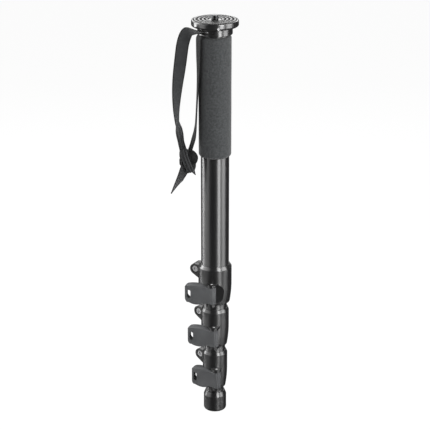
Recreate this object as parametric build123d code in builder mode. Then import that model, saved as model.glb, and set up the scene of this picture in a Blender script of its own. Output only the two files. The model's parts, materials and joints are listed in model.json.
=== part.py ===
"""Camera monopod: four telescoping tubes with lever locks, a screw head, a foam grip and a wrist strap.

Millimetres. The origin is the centre of the foot's bottom face, +Z is up and -Y is the front.
"""
import os
from dataclasses import dataclass
from math import cos, radians, sin, sqrt

from build123d import *

os.makedirs("parts", exist_ok=True)

# Fits and allowances
press_gap = 0.02
slide_gap = 0.12
cut_over = 1.0

# Tubes, from the top one down: walls, and the room round each sliding tube
tube_1_radius = 17.5
tube_1_wall = 1.2
tube_2_wall = 1.1
tube_3_wall = 1.0
tube_4_wall = 1.0
tube_2_room = 1.3
tube_3_room = 0.9
tube_4_room = 1.0

# Glide bushings on the tops of the sliding tubes
bushing_length = 15.0
bushing_lip = 2.0
bushing_lip_reach = 2.0
nest_gap = 0.3

# Foot
foot_wall = 3.5
foot_height = 26.7
foot_shoulder_height = 5.7
foot_shoulder_wall = 1.3
foot_edge_round = 3.0
foot_floor = 6.0
foot_plug_flange = 2.0
foot_plug_length = 22.0

# Locks: walls of the three collars round the tubes that they clamp, and the tube that shows below each
collar_1_wall = 3.5
collar_2_wall = 2.65
collar_3_wall = 2.8
foot_spacing = 6.8
lock_spacing = 8.0
collar_height = 51.5
collar_taper_height = 26.5
collar_taper_depth = 2.4
collar_rim_drop = 4.0
collar_rim_wall = 1.0
collar_lip_height = 2.0
collar_lip_gap = 0.4
collar_foot_round = 1.2
seat_height = 31.5

# Liner that guides the tube below
liner_wall = 1.0
liner_flange = 1.5

# Brake shoe, cam hub and pivot pin
shoe_thickness = 3.0
shoe_width = 7.0
shoe_height = 13.0
shoe_gap = 0.1
hub_radius = 5.2
cam_offset = 0.35
hub_clearance = 0.4
pin_radius = 1.6
pin_fit = 0.03
pin_chamfer = 0.3
lug_thickness = 3.4
lug_gap = 0.3
lug_root_inset = 3.0

# Lever, in its own frame: the pin is the origin and the blade points along -X
lever_base = 5.6
lever_height = 22.0
lever_reach = 35.4
lever_depth = 12.6
lever_sag = 1.5
lever_wall = 2.3
lever_belly = 2.6
lever_crown = 1.0
lever_shoulder = 4.5
lever_tip_round = 6.0
lever_low_corner = 6.5
lever_high_corner = 4.0
lever_collar_gap = 0.6
lever_edge_round = 0.8
nail_slot_width = 5.0
nail_slot_height = 12.0
nail_slot_inset = 6.4

# Clamp ear on the collar, its screw and nut
ear_overhang = 4.5
ear_radius = 7.0
ear_thickness = 14.0
ear_web_depth = 8.8
ear_root_radius = 3.0
ear_slot_width = 1.6
ear_drop = 11.6
screw_radius = 2.5
screw_head_radius = 4.25
screw_head_height = 4.4
screw_head_recess = 0.6
screw_head_room = 0.45
screw_head_chamfer = 0.5
screw_socket_radius = 2.3
screw_socket_depth = 2.4
nut_radius = 4.4
nut_height = 3.6
nut_room = 0.15
nut_recess = 0.5

# Hollow in the upper collar beside the lever
heel_pocket_half_width = 10.0
heel_pocket_half_height = 12.6
heel_pocket_depth = 3.6
heel_pocket_side = 1.8

# Head
plate_top = 515.0
plate_radius = 28.5
plate_thickness = 8.0
plate_edge_round = 1.6
plate_under_round = 2.6
plate_rim = 1.9
pad_inner_radius = 7.6
pad_base = 1.0
ridge_height = 0.8
ridge_count = 4
ridge_foot_share = 0.1
ridge_top_share = 0.3
pad_seat = 1.2
stud_radius = 4.7625
stud_rise = 5.6
stud_chamfer = 0.8
stud_shank_radius = 4.0
plug_shoulder = 5.5
socket_depth = 4.0
plug_length = 14.3
plug_flange = 0.8
plug_bore_depth = 9.0
grub_radius = 1.5
grub_recess = 0.9
grub_angle = 279.0
collar_top_gap = 1.0
head_collar_wall = 3.7
head_collar_skirt = 0.5
head_collar_round = 0.8

# Grip
grip_wall = 2.5
grip_length = 150.3
grip_gap = 1.6
grip_round = 2.5

# Strap and the bar that holds it
strap_width = 15.0
strap_thickness = 1.2
bar_radius = 1.1
bar_room = 2.2
bar_bite = 1.4
strap_slot_angle = 225.0
strap_slot_floor = 1.8
strap_slot_roof = 1.2
strap_slot_lift = 0.5
strap_slot_side = 0.8
strap_passage_angle = 203.0
strap_passage_depth = 3.7
strap_passage_gap = 0.2
strap_passage_side = 0.25
strand_gap = 0.15
strap_tail_tip = 2.0
strap_gathered_width = 8.0
knot_wrap_length = 31.0
knot_wrap_radius = 8.0
knot_right_length = 12.0
knot_right_radius = 8.8
knot_left_length = 10.0
knot_left_radius = 6.6


def polar(radius, angle, height=0):
    """The point at a radius, an angle in degrees and a height."""
    return Vector(radius * cos(radians(angle)), radius * sin(radians(angle)), height)


# Radii that follow from the top tube's
tube_2_radius = tube_1_radius - tube_1_wall - tube_2_room
tube_3_radius = tube_2_radius - tube_2_wall - tube_3_room
tube_4_radius = tube_3_radius - tube_3_wall - tube_4_room
tube_radii = [tube_1_radius, tube_2_radius, tube_3_radius, tube_4_radius]
tube_walls = [tube_1_wall, tube_2_wall, tube_3_wall, tube_4_wall]
foot_radius = tube_4_radius + foot_wall
grip_radius = tube_1_radius + grip_wall
head_collar_radius = tube_1_radius + head_collar_wall
socket_radius = tube_1_radius - plug_shoulder
slot_floor_radius = socket_radius + strap_slot_floor
bar_distance = slot_floor_radius + bar_room
passage_distance = tube_1_radius + strap_passage_gap + strap_thickness / 2
pad_radius = plate_radius - plate_rim
grub_length = plate_radius - grub_recess - socket_radius

# Heights: the locks stand up from the foot, and the top tube's end hangs from the plate with the head
lowest_lock_base = foot_height + foot_spacing
lock_pitch = collar_height + lock_spacing
strap_slot_height = 2 * (bar_radius + strap_thickness + 2 * strand_gap)
plate_bottom = plate_top - plate_thickness
collar_top = plate_bottom - collar_top_gap
slot_bottom = collar_top - strap_slot_roof - strap_slot_height
slot_middle = slot_bottom + strap_slot_height / 2
flange_top = slot_bottom - strap_slot_lift
tube_1_top = flange_top - plug_flange
grip_top = tube_1_top - head_collar_skirt - grip_gap
plug_bottom = tube_1_top - plug_length
bushing_tops = [plug_bottom - nest_gap]
for _ in range(2):
    bushing_tops.append(bushing_tops[-1] - bushing_lip - nest_gap)


@dataclass(frozen=True)
class Lock:
    """One lever lock: it is clamped on the tube above and grips the tube below."""

    number: int
    above: float
    below: float
    wall: float
    pin_angle: float
    ear_angle: float
    lever_angle: float

    @property
    def collar(self):
        return self.above + self.wall

    @property
    def base(self):
        return lowest_lock_base + (3 - self.number) * lock_pitch

    @property
    def top(self):
        return self.base + collar_height

    @property
    def seat(self):
        return self.base + seat_height

    @property
    def liner_bore(self):
        return self.below + slide_gap

    @property
    def liner_radius(self):
        return self.liner_bore + liner_wall

    @property
    def shoe_back(self):
        return self.below + shoe_gap + shoe_thickness

    @property
    def pin_distance(self):
        return self.shoe_back + shoe_gap + hub_radius + cam_offset

    @property
    def pin(self):
        return polar(self.pin_distance, self.pin_angle)

    @property
    def lever_bottom(self):
        return self.base + lever_base

    @property
    def ear_distance(self):
        return self.collar + ear_overhang

    def pin_plane(self, height):
        """Level plane at the pin, with its X axis pointing out from the tube's axis."""
        out = polar(1, self.pin_angle)
        return Plane(origin=(self.pin.X, self.pin.Y, height), x_dir=out, z_dir=(0, 0, 1))

    def lever_plane(self, height):
        """Level plane at the pin, turned so that the closed lever's blade points along -X."""
        along = polar(1, -self.lever_angle)
        return Plane(origin=(self.pin.X, self.pin.Y, height), x_dir=along, z_dir=(0, 0, 1))

    def radial_plane(self, angle, height):
        """Level plane on the tube's axis with its X axis at an angle."""
        return Plane(origin=(0, 0, height), x_dir=polar(1, angle), z_dir=(0, 0, 1))

    def ear_plane(self):
        """Upright plane on the clamp screw: X points outwards, Y up and Z away from the screw's head."""
        out = polar(1, self.ear_angle)
        away = polar(1, self.ear_angle - 90)
        centre = polar(self.ear_distance, self.ear_angle, self.top - ear_drop)
        return Plane(origin=centre, x_dir=out, z_dir=away)


locks = [
    Lock(1, tube_1_radius, tube_2_radius, collar_1_wall, pin_angle=260, ear_angle=150, lever_angle=16),
    Lock(2, tube_2_radius, tube_3_radius, collar_2_wall, pin_angle=266, ear_angle=140, lever_angle=20),
    Lock(3, tube_3_radius, tube_4_radius, collar_3_wall, pin_angle=276, ear_angle=140, lever_angle=26),
]


# Tubes
tube_bottoms = [lock.seat + liner_flange for lock in locks] + [foot_floor + foot_plug_flange]
tube_tops = [tube_1_top] + [top - bushing_lip for top in bushing_tops]
for number in range(4):
    outer = tube_radii[number]
    with BuildPart() as tube:
        with BuildSketch(Plane.XY.offset(tube_bottoms[number])):
            Circle(outer)
            Circle(outer - tube_walls[number], mode=Mode.SUBTRACT)
        extrude(amount=tube_tops[number] - tube_bottoms[number])
    tube.part.label = f"tube_{number + 1}"
    export_step(tube.part, f"parts/tube_{number + 1}.step")


# Glide bushings: a sleeve on the tube's top end, with a lip over the end
for number in range(1, 4):
    inner = tube_radii[number]
    bore_above = tube_radii[number - 1] - tube_walls[number - 1]
    bushing_top = bushing_tops[number - 1]
    tube_end = bushing_top - bushing_lip
    lip_radius = inner - tube_walls[number] - bushing_lip_reach
    with BuildPart() as bushing:
        with BuildSketch(Plane.XY.offset(bushing_top - bushing_length)):
            Circle(bore_above - slide_gap)
            Circle(inner + press_gap, mode=Mode.SUBTRACT)
        extrude(amount=bushing_length - bushing_lip)
        with BuildSketch(Plane.XY.offset(tube_end)):
            Circle(bore_above - slide_gap)
            Circle(lip_radius, mode=Mode.SUBTRACT)
        extrude(amount=bushing_lip)
    bushing.part.label = f"glide_bushing_{number + 1}"
    export_step(bushing.part, f"parts/glide_bushing_{number + 1}.step")


def build_collar(lock):
    """The lock's body: a tapered tube with a split clamp ear, two lugs for the lever and a shoe window."""
    bore = lock.above + press_gap
    lip = lock.below + collar_lip_gap
    foot = lock.collar - collar_taper_depth
    taper_top = lock.base + collar_taper_height
    ear = lock.ear_plane()
    with BuildPart() as collar:
        with BuildSketch(Plane.XZ):
            with BuildLine():
                Line((0, lock.base), (foot, lock.base))
                taper_middle = (lock.collar, (lock.base + taper_top) / 2)
                Bezier((foot, lock.base), taper_middle, (lock.collar, taper_top))
                Polyline(
                    (lock.collar, taper_top),
                    (lock.collar, lock.top - collar_rim_drop),
                    (bore + collar_rim_wall, lock.top),
                    (0, lock.top),
                    (0, lock.base),
                )
            make_face()
        revolve(axis=Axis.Z)
        fillet(collar.edges().group_by(Axis.Z)[0], collar_foot_round)
        with BuildSketch(ear):
            root = lock.collar - ear_root_radius - lock.ear_distance
            Circle(ear_radius)
            with Locations((root, ear_radius - ear_root_radius), (root, -ear_web_depth)):
                Circle(ear_root_radius)
            make_hull()
        extrude(amount=ear_thickness / 2, both=True)
        lower_lug = lock.lever_bottom - lug_gap - lug_thickness
        upper_lug = lock.lever_bottom + lever_height + lug_gap
        for lug_bottom in (lower_lug, upper_lug):
            with BuildSketch(lock.pin_plane(lug_bottom)):
                Circle(hub_radius)
                with Locations((-lock.pin_distance, 0)):
                    Circle(foot - lug_root_inset)
                make_hull()
            extrude(amount=lug_thickness)
        with BuildSketch(lock.pin_plane(lock.lever_bottom - lug_gap)):
            Circle(hub_radius + cam_offset + hub_clearance)
        extrude(amount=lever_height + 2 * lug_gap, mode=Mode.SUBTRACT)
        with BuildSketch(Plane.XY.offset(lock.base - cut_over)):
            Circle(lip)
        extrude(amount=collar_height + 2 * cut_over, mode=Mode.SUBTRACT)
        with BuildSketch(Plane.XY.offset(lock.base + collar_lip_height)):
            Circle(lock.liner_radius + press_gap)
        extrude(amount=seat_height, mode=Mode.SUBTRACT)
        with BuildSketch(Plane.XY.offset(lock.seat)):
            Circle(bore)
        extrude(amount=collar_height, mode=Mode.SUBTRACT)
        with BuildSketch(lock.pin_plane(lock.base - cut_over)):
            Circle(pin_radius + press_gap)
        extrude(amount=collar_height, mode=Mode.SUBTRACT)
        with BuildSketch(lock.radial_plane(lock.pin_angle, lock.lever_bottom + lever_height / 2)):
            with Locations((lock.pin_distance / 2, 0)):
                Rectangle(lock.pin_distance, shoe_width + 2 * shoe_gap)
        extrude(amount=shoe_height / 2 + shoe_gap, both=True, mode=Mode.SUBTRACT)
        with BuildSketch(lock.radial_plane(lock.ear_angle, lock.seat + liner_flange)):
            with Locations((lock.ear_distance / 2 + ear_radius, 0)):
                Rectangle(lock.ear_distance + 2 * ear_radius, ear_slot_width)
        extrude(amount=collar_height, mode=Mode.SUBTRACT)
        with BuildSketch(ear):
            Circle(screw_radius + press_gap)
        extrude(amount=ear_thickness, both=True, mode=Mode.SUBTRACT)
        with BuildSketch(ear.offset(-ear_thickness / 2 - cut_over)):
            Circle(screw_head_radius + screw_head_room)
        extrude(amount=cut_over + screw_head_recess + screw_head_height, mode=Mode.SUBTRACT)
        with BuildSketch(ear.offset(ear_thickness / 2 - nut_recess - nut_height)):
            RegularPolygon(nut_radius + nut_room, 6)
        extrude(amount=nut_height + nut_recess + cut_over, mode=Mode.SUBTRACT)
        if lock.number == 1:
            pocket_floor = lock.collar - heel_pocket_depth
            with BuildSketch(Plane.XZ.offset(pocket_floor)):
                with Locations((heel_pocket_side, lock.lever_bottom + lever_height / 2)):
                    Ellipse(heel_pocket_half_width, heel_pocket_half_height)
            extrude(amount=lock.collar, mode=Mode.SUBTRACT)
    return collar


# Lock collars
for lock in locks:
    collar = build_collar(lock)
    collar.part.label = f"lock_{lock.number}_collar"
    export_step(collar.part, f"parts/lock_{lock.number}_collar.step")


# Liners: a flanged sleeve in the collar, with a window for the shoe
for lock in locks:
    with BuildPart() as liner:
        with BuildSketch(Plane.XY.offset(lock.base + collar_lip_height)):
            Circle(lock.liner_radius)
        extrude(amount=seat_height - collar_lip_height)
        with BuildSketch(Plane.XY.offset(lock.seat)):
            Circle(lock.above)
        extrude(amount=liner_flange)
        with BuildSketch(Plane.XY.offset(lock.base)):
            Circle(lock.liner_bore)
        extrude(amount=collar_height, mode=Mode.SUBTRACT)
        with BuildSketch(lock.radial_plane(lock.pin_angle, lock.lever_bottom + lever_height / 2)):
            with Locations((lock.above / 2, 0)):
                Rectangle(lock.above, shoe_width + 2 * shoe_gap)
        extrude(amount=shoe_height / 2 + shoe_gap, both=True, mode=Mode.SUBTRACT)
    liner.part.label = f"lock_{lock.number}_liner"
    export_step(liner.part, f"parts/lock_{lock.number}_liner.step")


# Brake shoes: hollowed to the tube below, flat towards the cam
for lock in locks:
    with BuildPart() as shoe:
        with BuildSketch(lock.radial_plane(lock.pin_angle, lock.lever_bottom + lever_height / 2)):
            with Locations((lock.shoe_back / 2, 0)):
                Rectangle(lock.shoe_back, shoe_width)
            Circle(lock.below + shoe_gap, mode=Mode.SUBTRACT)
        extrude(amount=shoe_height / 2, both=True)
    shoe.part.label = f"lock_{lock.number}_shoe"
    export_step(shoe.part, f"parts/lock_{lock.number}_shoe.step")


def lever_plan():
    """Outline of the lever seen from above, from its hub to its rounded tip."""
    front = -hub_radius
    back = front + lever_depth
    tip_start = -(lever_reach - lever_tip_round)
    with BuildLine() as outline:
        ThreePointArc((0, front), (tip_start / 2, front + lever_sag), (tip_start, front))
        ThreePointArc((tip_start, front), (-lever_reach, front + lever_depth / 2), (tip_start, back))
        Polyline((tip_start, back), (0, back), (0, front))
    return outline.line


def lever_side(inset, right):
    """Outline of the lever seen from the front, drawn in by a wall, up to an edge on the right."""
    left = -(lever_reach - inset)
    low = inset
    high = lever_height - inset
    belly = inset - lever_belly
    crown = high + lever_crown
    shoulder = min(right, -hub_radius) - lever_shoulder
    low_bend = lever_low_corner * (1 - sqrt(0.5))
    high_bend = lever_high_corner * (1 - sqrt(0.5))
    with BuildLine() as outline:
        Line((right, low), (shoulder, low))
        ThreePointArc((shoulder, low), (left / 2, belly), (left + lever_low_corner, low))
        ThreePointArc(
            (left + lever_low_corner, low), (left + low_bend, low + low_bend), (left, low + lever_low_corner)
        )
        Line((left, low + lever_low_corner), (left, high - lever_high_corner))
        ThreePointArc(
            (left, high - lever_high_corner),
            (left + high_bend, high - high_bend),
            (left + lever_high_corner, high),
        )
        ThreePointArc((left + lever_high_corner, high), (left / 2, crown), (shoulder, high))
        Polyline((shoulder, high), (right, high), (right, low))
    return outline.line


def build_lever(lock):
    """A blade, hollow from its back and with a nail slot near its tip, on a cam hub that turns on the pin."""
    plan = lock.lever_plane(lock.lever_bottom - lever_belly - cut_over)
    front = lock.lever_plane(lock.lever_bottom)
    side = Plane(origin=front.origin, x_dir=front.x_dir, z_dir=-front.y_dir)
    tall = lever_belly + lever_height + lever_crown + 2 * cut_over
    web = hub_radius + lever_wall
    with BuildPart() as pocket:
        with BuildSketch(plan):
            make_face(lever_plan().edges())
            offset(amount=-lever_wall, mode=Mode.REPLACE)
            with Locations((-(lever_reach + web) / 2, lever_depth / 2)):
                Rectangle(lever_reach - web, lever_depth)
        extrude(amount=tall)
        with BuildSketch(side):
            make_face(lever_side(lever_wall, -web).edges())
        extrude(amount=lever_reach, both=True, mode=Mode.INTERSECT)
    with BuildPart() as lever:
        with BuildSketch(plan):
            make_face(lever_plan().edges())
        extrude(amount=tall)
        with BuildSketch(side):
            make_face(lever_side(0, hub_radius).edges())
        extrude(amount=lever_reach, both=True, mode=Mode.INTERSECT)
        fillet(lever.faces().sort_by(Axis(side.origin, side.z_dir))[-1].edges(), lever_edge_round)
        add(pocket.part, mode=Mode.SUBTRACT)
        with BuildSketch(Plane.XY.offset(plan.origin.Z)):
            Circle(lock.collar + lever_collar_gap)
        extrude(amount=tall, mode=Mode.SUBTRACT)
        with BuildSketch(lock.pin_plane(lock.lever_bottom)):
            with Locations((-cam_offset, 0)):
                Circle(hub_radius)
        extrude(amount=lever_height)
        with BuildSketch(lock.pin_plane(lock.lever_bottom - cut_over)):
            Circle(pin_radius + pin_fit)
        extrude(amount=lever_height + 2 * cut_over, mode=Mode.SUBTRACT)
        with BuildSketch(side.offset(hub_radius + cut_over)):
            with Locations((-(lever_reach - nail_slot_inset), lever_height / 2)):
                SlotOverall(nail_slot_height, nail_slot_width, rotation=90)
        extrude(amount=-(cut_over + lever_sag + lever_wall), mode=Mode.SUBTRACT)
    return lever


# Levers
for lock in locks:
    lever = build_lever(lock)
    lever.part.label = f"lock_{lock.number}_lever"
    export_step(lever.part, f"parts/lock_{lock.number}_lever.step")


# Pivot pins, pressed into both lugs
for lock in locks:
    with BuildPart() as pin:
        with BuildSketch(lock.pin_plane(lock.lever_bottom - lug_gap - lug_thickness)):
            Circle(pin_radius)
        extrude(amount=lever_height + 2 * (lug_gap + lug_thickness))
        chamfer(pin.edges().filter_by(GeomType.CIRCLE), pin_chamfer)
    pin.part.label = f"lock_{lock.number}_pivot_pin"
    export_step(pin.part, f"parts/lock_{lock.number}_pivot_pin.step")


# Clamp screws: socket heads sunk in the ears, and the hexagon nuts behind them
for lock in locks:
    ear = lock.ear_plane()
    head_face = -ear_thickness / 2 + screw_head_recess
    nut_face = ear_thickness / 2 - nut_recess
    with BuildPart() as screw:
        with BuildSketch(ear.offset(head_face)):
            Circle(screw_head_radius)
        extrude(amount=screw_head_height)
        chamfer(screw.edges().filter_by(GeomType.CIRCLE), screw_head_chamfer)
        with BuildSketch(ear.offset(head_face + screw_head_height)):
            Circle(screw_radius)
        extrude(amount=nut_face - head_face - screw_head_height)
        with BuildSketch(ear.offset(head_face)):
            RegularPolygon(screw_socket_radius, 6)
        extrude(amount=screw_socket_depth, mode=Mode.SUBTRACT)
    screw.part.label = f"lock_{lock.number}_clamp_screw"
    export_step(screw.part, f"parts/lock_{lock.number}_clamp_screw.step")
    with BuildPart() as nut:
        with BuildSketch(ear.offset(nut_face - nut_height)):
            RegularPolygon(nut_radius, 6)
            Circle(screw_radius + press_gap, mode=Mode.SUBTRACT)
        extrude(amount=nut_height)
    nut.part.label = f"lock_{lock.number}_clamp_nut"
    export_step(nut.part, f"parts/lock_{lock.number}_clamp_nut.step")


# Foot: a plug in the tube's end and a rubber cap over both
foot_tube_radius = tube_4_radius + press_gap
with BuildPart() as foot_plug:
    with BuildSketch(Plane.XY.offset(foot_floor)):
        Circle(tube_4_radius)
    extrude(amount=foot_plug_flange)
    with BuildSketch(Plane.XY.offset(foot_floor + foot_plug_flange)):
        Circle(tube_4_radius - tube_4_wall - press_gap)
    extrude(amount=foot_plug_length)
foot_plug.part.label = "foot_plug"
export_step(foot_plug.part, "parts/foot_plug.step")

with BuildPart() as foot_rubber:
    with BuildSketch(Plane.XZ):
        with BuildLine():
            Polyline(
                (foot_tube_radius, foot_floor),
                (0, foot_floor),
                (0, 0),
                (foot_radius, 0),
                (foot_radius, foot_height - foot_shoulder_height),
                (foot_tube_radius + foot_shoulder_wall, foot_height),
                (foot_tube_radius, foot_height),
                (foot_tube_radius, foot_floor),
            )
        make_face()
    revolve(axis=Axis.Z)
    fillet(foot_rubber.edges().group_by(Axis.Z)[0], foot_edge_round)
foot_rubber.part.label = "foot_rubber"
export_step(foot_rubber.part, "parts/foot_rubber.step")


# Head
with BuildPart() as top_plate:
    with BuildSketch(Plane.XY.offset(plate_bottom)):
        Circle(plate_radius)
    extrude(amount=plate_thickness)
    fillet(top_plate.edges().group_by(Axis.Z)[-1], plate_edge_round)
    fillet(top_plate.edges().group_by(Axis.Z)[0], plate_under_round)
    with BuildSketch(Plane.XY.offset(plate_bottom)):
        Circle(socket_radius + press_gap)
    extrude(amount=socket_depth, mode=Mode.SUBTRACT)
    with BuildSketch(Plane.XY.offset(plate_bottom)):
        Circle(stud_shank_radius + press_gap)
    extrude(amount=plate_thickness, mode=Mode.SUBTRACT)
    with BuildSketch(Plane.XY.offset(plate_top - pad_seat)):
        Circle(pad_radius + press_gap)
        Circle(pad_inner_radius - press_gap, mode=Mode.SUBTRACT)
    extrude(amount=pad_seat, mode=Mode.SUBTRACT)
    for turn in range(3):
        out = polar(1, grub_angle + 120 * turn)
        rim = Plane(origin=out * plate_radius + Vector(0, 0, plate_bottom + socket_depth / 2), z_dir=out)
        with BuildSketch(rim.offset(cut_over)):
            Circle(grub_radius + press_gap)
        extrude(amount=socket_radius - plate_radius - cut_over, mode=Mode.SUBTRACT)
top_plate.part.label = "top_plate"
export_step(top_plate.part, "parts/top_plate.step")

# Contact pad: ridged rings let into the plate
ridge_pitch = (pad_radius - pad_inner_radius) / ridge_count
pad_face = plate_top - pad_seat + pad_base
with BuildPart() as top_pad:
    with BuildSketch(Plane.XY.offset(plate_top - pad_seat)):
        Circle(pad_radius)
        Circle(pad_inner_radius, mode=Mode.SUBTRACT)
    extrude(amount=pad_base)
    for ring in range(ridge_count):
        low_radius = pad_inner_radius + ring * ridge_pitch
        with BuildSketch(Plane.XZ):
            with BuildLine():
                Polyline(
                    (low_radius + ridge_pitch * ridge_foot_share, pad_face),
                    (low_radius + ridge_pitch * ridge_top_share, pad_face + ridge_height),
                    (low_radius + ridge_pitch * (1 - ridge_top_share), pad_face + ridge_height),
                    (low_radius + ridge_pitch * (1 - ridge_foot_share), pad_face),
                    close=True,
                )
            make_face()
        revolve(axis=Axis.Z)
top_pad.part.label = "top_pad"
export_step(top_pad.part, "parts/top_pad.step")

# Camera stud: a shank pressed in the plate and the plug, and the wider thread that stands on the plate
with BuildPart() as camera_stud:
    with BuildSketch(Plane.XY.offset(plate_bottom + socket_depth - plug_bore_depth)):
        Circle(stud_shank_radius)
    extrude(amount=plate_thickness - socket_depth + plug_bore_depth)
    with BuildSketch(Plane.XY.offset(plate_top)):
        Circle(stud_radius)
    extrude(amount=stud_rise)
    chamfer(camera_stud.edges().group_by(Axis.Z)[-1], stud_chamfer)
camera_stud.part.label = "camera_stud"
export_step(camera_stud.part, "parts/camera_stud.step")

with BuildPart() as plate_set_screws:
    for turn in range(3):
        out = polar(1, grub_angle + 120 * turn)
        neck = Plane(origin=out * socket_radius + Vector(0, 0, plate_bottom + socket_depth / 2), z_dir=out)
        with BuildSketch(neck):
            Circle(grub_radius)
        extrude(amount=grub_length)
        with BuildSketch(neck.offset(grub_length)):
            RegularPolygon(grub_radius / 2, 6)
        extrude(amount=-grub_radius, mode=Mode.SUBTRACT)
plate_set_screws.part.label = "plate_set_screws"
export_step(plate_set_screws.part, "parts/plate_set_screws.step")

with BuildPart() as head_plug:
    with BuildSketch(Plane.XY.offset(plug_bottom)):
        Circle(tube_1_radius - tube_1_wall - press_gap)
    extrude(amount=plug_length)
    with BuildSketch(Plane.XY.offset(tube_1_top)):
        Circle(tube_1_radius)
    extrude(amount=plug_flange)
    with BuildSketch(Plane.XY.offset(flange_top)):
        Circle(socket_radius)
    extrude(amount=plate_bottom + socket_depth - flange_top)
    with BuildSketch(Plane.XY.offset(plate_bottom + socket_depth)):
        Circle(stud_shank_radius + press_gap)
    extrude(amount=-plug_bore_depth, mode=Mode.SUBTRACT)
head_plug.part.label = "head_plug"
export_step(head_plug.part, "parts/head_plug.step")

# Head collar: the front strand leaves by its slot, over the bar, and the rear strand by the passage under it
slot_plane = Plane(origin=(0, 0, slot_bottom), x_dir=polar(1, strap_slot_angle), z_dir=(0, 0, 1))
bar_plane = Plane(
    origin=polar(bar_distance, strap_slot_angle, slot_middle), z_dir=polar(1, strap_slot_angle + 90)
)
slot_half_width = strap_width / 2 + strap_slot_side
passage_plane = Plane(
    origin=(0, 0, slot_bottom + 2 * strand_gap), x_dir=polar(1, strap_passage_angle), z_dir=(0, 0, 1)
)
passage_outside = passage_distance + strap_thickness / 2 + strap_passage_gap
with BuildPart() as head_collar:
    with BuildSketch(Plane.XY.offset(tube_1_top - head_collar_skirt)):
        Circle(head_collar_radius)
    extrude(amount=collar_top - tube_1_top + head_collar_skirt)
    fillet(head_collar.edges().filter_by(GeomType.CIRCLE), head_collar_round)
    with BuildSketch(Plane.XY.offset(tube_1_top - head_collar_skirt)):
        Circle(tube_1_radius + press_gap)
    extrude(amount=head_collar_skirt + plug_flange, mode=Mode.SUBTRACT)
    with BuildSketch(Plane.XY.offset(flange_top)):
        Circle(socket_radius + press_gap)
    extrude(amount=collar_top - flange_top, mode=Mode.SUBTRACT)
    with BuildSketch(slot_plane):
        slot_mouth_radius = head_collar_radius + cut_over
        with Locations(((slot_floor_radius + slot_mouth_radius) / 2, 0)):
            Rectangle(slot_mouth_radius - slot_floor_radius, 2 * slot_half_width)
    extrude(amount=strap_slot_height, mode=Mode.SUBTRACT)
    with BuildSketch(passage_plane):
        with Locations((passage_outside - strap_passage_depth / 2, 0)):
            Rectangle(strap_passage_depth, strap_width + 2 * strap_passage_side)
    extrude(amount=-head_collar_radius, mode=Mode.SUBTRACT)
    with BuildSketch(bar_plane.offset(-slot_half_width - bar_bite)):
        Circle(bar_radius + press_gap)
    extrude(amount=2 * head_collar_radius, mode=Mode.SUBTRACT)
head_collar.part.label = "head_collar"
export_step(head_collar.part, "parts/head_collar.step")

with BuildPart() as strap_bar:
    with BuildSketch(bar_plane.offset(-slot_half_width - bar_bite)):
        Circle(bar_radius)
    extrude(amount=2 * (slot_half_width + bar_bite))
strap_bar.part.label = "strap_bar"
export_step(strap_bar.part, "parts/strap_bar.step")

with BuildPart() as grip_foam:
    with BuildSketch(Plane.XY.offset(grip_top - grip_length)):
        Circle(grip_radius)
    extrude(amount=grip_length)
    fillet(grip_foam.edges().filter_by(GeomType.CIRCLE), grip_round)
    with BuildSketch(Plane.XY.offset(grip_top)):
        Circle(tube_1_radius + press_gap)
    extrude(amount=-grip_length, mode=Mode.SUBTRACT)
grip_foam.part.label = "grip_foam"
export_step(grip_foam.part, "parts/grip_foam.step")


# Wrist strap: points along the middle of each strand, down to the knot, at heights from the bar's
strand_rise = bar_radius + strand_gap + strap_thickness / 2
bar_level = Vector(0, 0, slot_middle)
front_route = [
    (-10.5, -10.5, strand_rise),
    (-15.3, -15.3, strand_rise),
    (-20.4, -19.0, 2.3),
    (-26.2, -22.5, 3.7),
    (-31.2, -25.2, 4.1),
    (-34.2, -26.4, 0.9),
    (-36.4, -26.6, -4.7),
    (-38.2, -26.4, -11.9),
    (-39.4, -26.0, -20.4),
    (-40.8, -25.4, -31.9),
    (-42.6, -24.6, -45.4),
    (-44.4, -23.6, -59.9),
    (-45.6, -22.4, -74.9),
    (-46.2, -21.0, -89.9),
    (-45.8, -19.4, -104.4),
    (-44.1, -17.8, -116.9),
    (-42.0, -16.4, -128.4),
    (-40.2, -15.2, -138.9),
    (-37.6, -14.0, -147.9),
]
rear_route = [
    polar(passage_distance, strap_passage_angle, slot_bottom - slot_middle),
    polar(passage_distance, strap_passage_angle, -4.6),
    (-18.5, -7.8, -6.3),
    (-19.6, -8.3, -8.7),
    (-19.7, -8.6, -14.5),
    (-19.8, -8.8, -27.9),
    (-19.9, -8.6, -42.9),
    (-20.3, -8.0, -58.9),
    (-21.0, -7.4, -74.9),
    (-21.9, -7.0, -90.9),
    (-22.6, -7.0, -105.9),
    (-23.4, -7.4, -118.9),
    (-25.2, -8.4, -129.9),
    (-28.2, -10.2, -138.9),
    (-31.0, -12.0, -147.4),
]
long_tail_route = [
    (-35.6, -15.6, -160.9),
    (-37.4, -16.4, -168.4),
    (-40.0, -17.0, -175.9),
    (-43.6, -17.4, -183.4),
    (-46.6, -17.4, -190.9),
    (-49.4, -17.2, -199.4),
]
short_tail_route = [(-29.0, -14.6, -163.9), (-27.0, -15.0, -168.9), (-25.6, -15.2, -173.9)]

# Angles of the strands' widths about the vertical, and how far their near edges dip, in degrees
front_turns = [-45, -45, -42, -36, -26, -14, -6, 0, 4, 8, 17, 30, 43, 55, 66, 72, 62, 50, 40]
front_dips = [0, 0, 14, 24, 22, 12, 4, 0, 0, 0, 0, 0, 0, 0, 0, 0, 0, 0, 0]
rear_turns = [-67, -67, -67, -67, -68, -70, -75, -80, -83, -85, -85, -84, -78, -68, -60]
rear_dips = [0] * len(rear_route)
long_tail_turns = [30, 32, 36, 40, 44, 48]
long_tail_dips = [-10, -16, -22, -24, -22, -20]
short_tail_turns = [50, 50, 50]
short_tail_dips = [0, 0, 0]


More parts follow.
